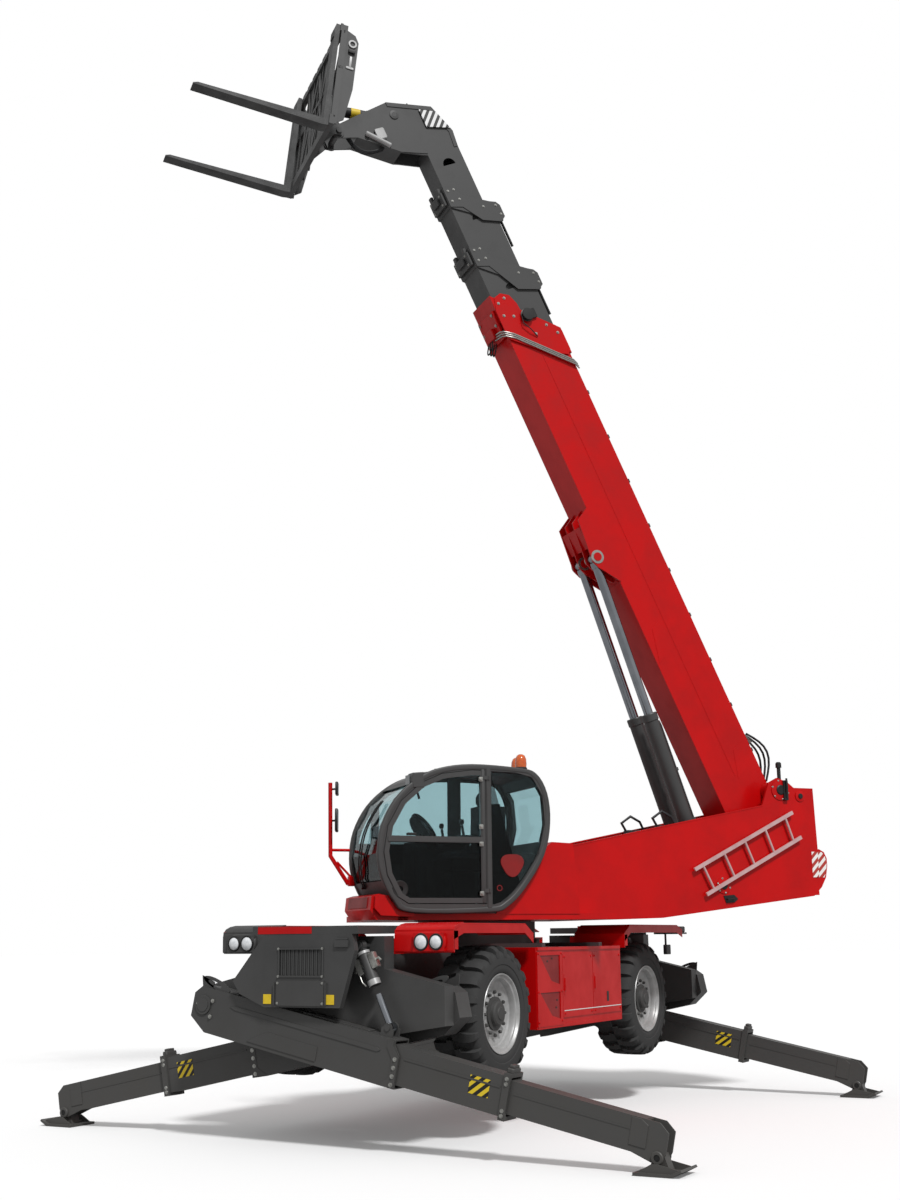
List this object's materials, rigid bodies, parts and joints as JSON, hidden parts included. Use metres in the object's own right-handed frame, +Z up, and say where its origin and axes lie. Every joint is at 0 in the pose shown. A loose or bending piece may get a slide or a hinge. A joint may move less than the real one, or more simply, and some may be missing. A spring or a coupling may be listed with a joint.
{
  "type": "rotating telehandler",
  "caption": "Four-wheel rotating telehandler standing on scissor outriggers, with a slewing cab and turret, a raised telescopic boom and a tilting fork carriage.",
  "frame": {"origin": "on the ground under the outrigger feet, below the middle of the bounding box", "axes": "+X the chassis's front, +Y its left side, +Z up"},
  "size_m": [6.7814, 6.8288, 11.7446],
  "materials": {
    "charcoal_paint": "semi-gloss charcoal paint",
    "red_paint": "gloss red paint",
    "axle_iron": "painted cast iron",
    "tyre_rubber": "black tyre rubber",
    "rim_silver": "silver wheel paint",
    "chrome_rod": "hard chrome",
    "fork_steel": "worn black steel",
    "cab_glass": "tinted glass",
    "lamp_glass": "clear lamp glass",
    "ladder_aluminium": "mill aluminium",
    "interior_plastic": "dark moulded plastic",
    "engine_grey": "cast iron"
  },
  "bodies": {
    "chassis": {"chassis_frame": "charcoal_paint", "end_covers": "charcoal_paint", "side_cabinets": "red_paint", "engine_block": "engine_grey", "fenders": "red_paint", "lamps": "lamp_glass", "axles": "axle_iron"},
    "turret": {"turret_frame": "red_paint", "ladder": "ladder_aluminium", "cab_frame": "charcoal_paint", "cab_glass": "cab_glass", "cab_interior": "interior_plastic"},
    "door": {"door_frame": "charcoal_paint", "door_glass": "cab_glass"},
    "boom": {"boom_base": "red_paint"},
    "boom_2": {"boom_section_2": "charcoal_paint"},
    "boom_3": {"boom_section_3": "charcoal_paint"},
    "boom_4": {"boom_section_4": "charcoal_paint"},
    "carriage": {"fork_carriage": "charcoal_paint", "forks": "fork_steel"},
    "lift_barrels": {"lift_barrels": "charcoal_paint"},
    "lift_rods": {"lift_rods": "chrome_rod"},
    "tilt_barrel": {"tilt_barrel": "charcoal_paint"},
    "tilt_rod": {"tilt_rod": "chrome_rod"},
    "leg_front_left": {"leg_housing_front_left": "charcoal_paint"},
    "leg_stage_1_front_left": {"leg_stage_1_front_left": "charcoal_paint"},
    "leg_stage_2_front_left": {"leg_stage_2_front_left": "charcoal_paint"},
    "leg_foot_front_left": {"leg_foot_front_left": "charcoal_paint"},
    "leg_barrel_front_left": {"leg_barrel_front_left": "charcoal_paint"},
    "leg_rod_front_left": {"leg_rod_front_left": "chrome_rod"},
    "leg_front_right": {"leg_housing_front_right": "charcoal_paint"},
    "leg_stage_1_front_right": {"leg_stage_1_front_right": "charcoal_paint"},
    "leg_stage_2_front_right": {"leg_stage_2_front_right": "charcoal_paint"},
    "leg_foot_front_right": {"leg_foot_front_right": "charcoal_paint"},
    "leg_barrel_front_right": {"leg_barrel_front_right": "charcoal_paint"},
    "leg_rod_front_right": {"leg_rod_front_right": "chrome_rod"},
    "leg_rear_left": {"leg_housing_rear_left": "charcoal_paint"},
    "leg_stage_1_rear_left": {"leg_stage_1_rear_left": "charcoal_paint"},
    "leg_stage_2_rear_left": {"leg_stage_2_rear_left": "charcoal_paint"},
    "leg_foot_rear_left": {"leg_foot_rear_left": "charcoal_paint"},
    "leg_barrel_rear_left": {"leg_barrel_rear_left": "charcoal_paint"},
    "leg_rod_rear_left": {"leg_rod_rear_left": "chrome_rod"},
    "leg_rear_right": {"leg_housing_rear_right": "charcoal_paint"},
    "leg_stage_1_rear_right": {"leg_stage_1_rear_right": "charcoal_paint"},
    "leg_stage_2_rear_right": {"leg_stage_2_rear_right": "charcoal_paint"},
    "leg_foot_rear_right": {"leg_foot_rear_right": "charcoal_paint"},
    "leg_barrel_rear_right": {"leg_barrel_rear_right": "charcoal_paint"},
    "leg_rod_rear_right": {"leg_rod_rear_right": "chrome_rod"},
    "knuckle_front_left": {"knuckle_front_left": "axle_iron"},
    "wheel_front_left": {"tyre_front_left": "tyre_rubber", "rim_front_left": "rim_silver"},
    "knuckle_front_right": {"knuckle_front_right": "axle_iron"},
    "wheel_front_right": {"tyre_front_right": "tyre_rubber", "rim_front_right": "rim_silver"},
    "knuckle_rear_left": {"knuckle_rear_left": "axle_iron"},
    "wheel_rear_left": {"tyre_rear_left": "tyre_rubber", "rim_rear_left": "rim_silver"},
    "knuckle_rear_right": {"knuckle_rear_right": "axle_iron"},
    "wheel_rear_right": {"tyre_rear_right": "tyre_rubber", "rim_rear_right": "rim_silver"}
  },
  "joints": [
    {"name": "slew", "type": "hinge", "parent": "chassis", "child": "turret", "pos_m": [0.22126, 0, 1.93], "axis": [0, 0, 1], "continuous": true},
    {"name": "cab_door", "type": "hinge", "parent": "turret", "child": "door", "pos_m": [1.24045, 0.73423, 2.7], "axis": [0, 0, 1], "range_deg": [0, 100]},
    {"name": "boom_luff", "type": "hinge", "parent": "turret", "child": "boom", "pos_m": [-2.67807, 2.25132, 3.39], "axis": [-0.6293, -0.7771, 0], "range_deg": [-64.3, 5.7]},
    {"name": "boom_extend", "type": "slide", "parent": "boom", "child": "boom_2", "axis": [0.337, -0.2729, 0.9011], "range_m": [-0.34, 4.8]},
    {"name": "boom_extend_3", "type": "slide", "parent": "boom_2", "child": "boom_3", "axis": [0.337, -0.2729, 0.9011], "range_m": [-0.34, 4.8]},
    {"name": "boom_extend_4", "type": "slide", "parent": "boom_3", "child": "boom_4", "axis": [0.337, -0.2729, 0.9011], "range_m": [-0.34, 4.8]},
    {"name": "fork_tilt", "type": "hinge", "parent": "boom_4", "child": "carriage", "pos_m": [1.44023, -1.08361, 10.84988], "axis": [0.6293, 0.7771, 0], "range_deg": [-60, 15]},
    {"name": "lift_barrel_swing", "type": "hinge", "parent": "turret", "child": "lift_barrels", "pos_m": [-2.04081, 1.73528, 2.3], "axis": [-0.6293, -0.7771, 0], "range_deg": [-64.64, 6.64]},
    {"name": "lift_rod_slide", "type": "slide", "parent": "lift_barrels", "child": "lift_rods", "axis": [0.2626, -0.2126, 0.9412], "range_m": [-1.47121, 0.14865]},
    {"name": "tilt_barrel_swing", "type": "hinge", "parent": "carriage", "child": "tilt_barrel", "pos_m": [1.39521, -1.04716, 11.21586], "axis": [0.6293, 0.7771, 0], "range_deg": [-24.66, 95.66]},
    {"name": "tilt_rod_slide", "type": "slide", "parent": "tilt_barrel", "child": "tilt_rod", "axis": [-0.7771, 0.6293, 0.0132], "range_m": [-0.22094, 0.06274]},
    {"name": "leg_swing_front_left", "type": "hinge", "parent": "chassis", "child": "leg_front_left", "pos_m": [3.16426, -1.15, 1.19], "axis": [-1, 0, 0], "range_deg": [-11.75, 1]},
    {"name": "leg_extend_1_front_left", "type": "slide", "parent": "leg_front_left", "child": "leg_stage_1_front_left", "axis": [0, 0.979, -0.2036], "range_m": [-0.93, 0.03]},
    {"name": "leg_extend_2_front_left", "type": "slide", "parent": "leg_stage_1_front_left", "child": "leg_stage_2_front_left", "axis": [0, 0.979, -0.2036], "range_m": [-0.93, 0.03]},
    {"name": "foot_swivel_front_left", "type": "hinge", "parent": "leg_stage_2_front_left", "child": "leg_foot_front_left", "pos_m": [3.16426, 3.18943, 0.12193], "axis": [-1, 0, 0], "range_deg": [-1.5, 12.25]},
    {"name": "leg_barrel_swing_front_left", "type": "hinge", "parent": "chassis", "child": "leg_barrel_front_left", "pos_m": [3.16426, 0.47, 1.7], "axis": [-1, 0, 0], "range_deg": [-23.11, 2.42]},
    {"name": "leg_rod_slide_front_left", "type": "slide", "parent": "leg_barrel_front_left", "child": "leg_rod_front_left", "axis": [0, 0.4193, -0.9078], "range_m": [-0.34096, 0.03817]},
    {"name": "leg_swing_front_right", "type": "hinge", "parent": "chassis", "child": "leg_front_right", "pos_m": [2.76826, 1.15, 1.19], "axis": [1, 0, 0], "range_deg": [-11.75, 1]},
    {"name": "leg_extend_1_front_right", "type": "slide", "parent": "leg_front_right", "child": "leg_stage_1_front_right", "axis": [0, -0.979, -0.2036], "range_m": [-0.93, 0.03]},
    {"name": "leg_extend_2_front_right", "type": "slide", "parent": "leg_stage_1_front_right", "child": "leg_stage_2_front_right", "axis": [0, -0.979, -0.2036], "range_m": [-0.93, 0.03]},
    {"name": "foot_swivel_front_right", "type": "hinge", "parent": "leg_stage_2_front_right", "child": "leg_foot_front_right", "pos_m": [2.76826, -3.18943, 0.12193], "axis": [1, 0, 0], "range_deg": [-1.5, 12.25]},
    {"name": "leg_barrel_swing_front_right", "type": "hinge", "parent": "chassis", "child": "leg_barrel_front_right", "pos_m": [2.76826, -0.47, 1.7], "axis": [1, 0, 0], "range_deg": [-23.11, 2.42]},
    {"name": "leg_rod_slide_front_right", "type": "slide", "parent": "leg_barrel_front_right", "child": "leg_rod_front_right", "axis": [0, -0.4193, -0.9078], "range_m": [-0.34096, 0.03817]},
    {"name": "leg_swing_rear_left", "type": "hinge", "parent": "chassis", "child": "leg_rear_left", "pos_m": [-2.81174, -1.15, 1.19], "axis": [-1, 0, 0], "range_deg": [-11.75, 1]},
    {"name": "leg_extend_1_rear_left", "type": "slide", "parent": "leg_rear_left", "child": "leg_stage_1_rear_left", "axis": [0, 0.979, -0.2036], "range_m": [-0.93, 0.03]},
    {"name": "leg_extend_2_rear_left", "type": "slide", "parent": "leg_stage_1_rear_left", "child": "leg_stage_2_rear_left", "axis": [0, 0.979, -0.2036], "range_m": [-0.93, 0.03]},
    {"name": "foot_swivel_rear_left", "type": "hinge", "parent": "leg_stage_2_rear_left", "child": "leg_foot_rear_left", "pos_m": [-2.81174, 3.18943, 0.12193], "axis": [-1, 0, 0], "range_deg": [-1.5, 12.25]},
    {"name": "leg_barrel_swing_rear_left", "type": "hinge", "parent": "chassis", "child": "leg_barrel_rear_left", "pos_m": [-2.81174, 0.47, 1.7], "axis": [-1, 0, 0], "range_deg": [-23.11, 2.42]},
    {"name": "leg_rod_slide_rear_left", "type": "slide", "parent": "leg_barrel_rear_left", "child": "leg_rod_rear_left", "axis": [0, 0.4193, -0.9078], "range_m": [-0.34096, 0.03817]},
    {"name": "leg_swing_rear_right", "type": "hinge", "parent": "chassis", "child": "leg_rear_right", "pos_m": [-3.20874, 1.15, 1.19], "axis": [1, 0, 0], "range_deg": [-11.75, 1]},
    {"name": "leg_extend_1_rear_right", "type": "slide", "parent": "leg_rear_right", "child": "leg_stage_1_rear_right", "axis": [0, -0.979, -0.2036], "range_m": [-0.93, 0.03]},
    {"name": "leg_extend_2_rear_right", "type": "slide", "parent": "leg_stage_1_rear_right", "child": "leg_stage_2_rear_right", "axis": [0, -0.979, -0.2036], "range_m": [-0.93, 0.03]},
    {"name": "foot_swivel_rear_right", "type": "hinge", "parent": "leg_stage_2_rear_right", "child": "leg_foot_rear_right", "pos_m": [-3.20874, -3.18943, 0.12193], "axis": [1, 0, 0], "range_deg": [-1.5, 12.25]},
    {"name": "leg_barrel_swing_rear_right", "type": "hinge", "parent": "chassis", "child": "leg_barrel_rear_right", "pos_m": [-3.20874, -0.47, 1.7], "axis": [1, 0, 0], "range_deg": [-23.11, 2.42]},
    {"name": "leg_rod_slide_rear_right", "type": "slide", "parent": "leg_barrel_rear_right", "child": "leg_rod_rear_right", "axis": [0, -0.4193, -0.9078], "range_m": [-0.34096, 0.03817]},
    {"name": "steer_front_left", "type": "hinge", "parent": "chassis", "child": "knuckle_front_left", "pos_m": [1.97126, 0.88, 1.083], "axis": [0, 0, 1], "range_deg": [-20, 20]},
    {"name": "wheel_front_left", "type": "hinge", "parent": "knuckle_front_left", "child": "wheel_front_left", "pos_m": [1.97126, 1.022, 1.083], "axis": [0, 1, 0], "continuous": true},
    {"name": "steer_front_right", "type": "hinge", "parent": "chassis", "child": "knuckle_front_right", "pos_m": [1.97126, -0.88, 1.083], "axis": [0, 0, 1], "range_deg": [-20, 20]},
    {"name": "wheel_front_right", "type": "hinge", "parent": "knuckle_front_right", "child": "wheel_front_right", "pos_m": [1.97126, -1.022, 1.083], "axis": [0, 1, 0], "continuous": true},
    {"name": "steer_rear_left", "type": "hinge", "parent": "chassis", "child": "knuckle_rear_left", "pos_m": [-1.52874, 0.88, 1.083], "axis": [0, 0, 1], "range_deg": [-20, 20]},
    {"name": "wheel_rear_left", "type": "hinge", "parent": "knuckle_rear_left", "child": "wheel_rear_left", "pos_m": [-1.52874, 1.022, 1.083], "axis": [0, 1, 0], "continuous": true},
    {"name": "steer_rear_right", "type": "hinge", "parent": "chassis", "child": "knuckle_rear_right", "pos_m": [-1.52874, -0.88, 1.083], "axis": [0, 0, 1], "range_deg": [-20, 20]},
    {"name": "wheel_rear_right", "type": "hinge", "parent": "knuckle_rear_right", "child": "wheel_rear_right", "pos_m": [-1.52874, -1.022, 1.083], "axis": [0, 1, 0], "continuous": true}
  ],
  "couplings": [
    {"joint": "boom_extend_3", "follows": "boom_extend", "ratio": 1},
    {"joint": "boom_extend_4", "follows": "boom_extend", "ratio": 1},
    {"joint": "lift_barrel_swing", "follows": "boom_luff", "ratio": 0.98969},
    {"joint": "lift_rod_slide", "follows": "boom_luff", "m_per_rad": 1.2931},
    {"joint": "tilt_barrel_swing", "follows": "fork_tilt", "ratio": -1.5776},
    {"joint": "tilt_rod_slide", "follows": "fork_tilt", "m_per_rad": 0.20143},
    {"joint": "leg_extend_2_front_left", "follows": "leg_extend_1_front_left", "ratio": 1},
    {"joint": "foot_swivel_front_left", "follows": "leg_swing_front_left", "ratio": -1},
    {"joint": "leg_barrel_swing_front_left", "follows": "leg_swing_front_left", "ratio": 1.9245},
    {"joint": "leg_rod_slide_front_left", "follows": "leg_swing_front_left", "m_per_rad": 1.6139},
    {"joint": "leg_extend_2_front_right", "follows": "leg_extend_1_front_right", "ratio": 1},
    {"joint": "foot_swivel_front_right", "follows": "leg_swing_front_right", "ratio": -1},
    {"joint": "leg_barrel_swing_front_right", "follows": "leg_swing_front_right", "ratio": 1.9245},
    {"joint": "leg_rod_slide_front_right", "follows": "leg_swing_front_right", "m_per_rad": 1.6139},
    {"joint": "leg_extend_2_rear_left", "follows": "leg_extend_1_rear_left", "ratio": 1},
    {"joint": "foot_swivel_rear_left", "follows": "leg_swing_rear_left", "ratio": -1},
    {"joint": "leg_barrel_swing_rear_left", "follows": "leg_swing_rear_left", "ratio": 1.9245},
    {"joint": "leg_rod_slide_rear_left", "follows": "leg_swing_rear_left", "m_per_rad": 1.6139},
    {"joint": "leg_extend_2_rear_right", "follows": "leg_extend_1_rear_right", "ratio": 1},
    {"joint": "foot_swivel_rear_right", "follows": "leg_swing_rear_right", "ratio": -1},
    {"joint": "leg_barrel_swing_rear_right", "follows": "leg_swing_rear_right", "ratio": 1.9245},
    {"joint": "leg_rod_slide_rear_right", "follows": "leg_swing_rear_right", "m_per_rad": 1.6139},
    {"joint": "steer_front_right", "follows": "steer_front_left", "ratio": 1},
    {"joint": "steer_rear_right", "follows": "steer_rear_left", "ratio": 1}
  ]
}
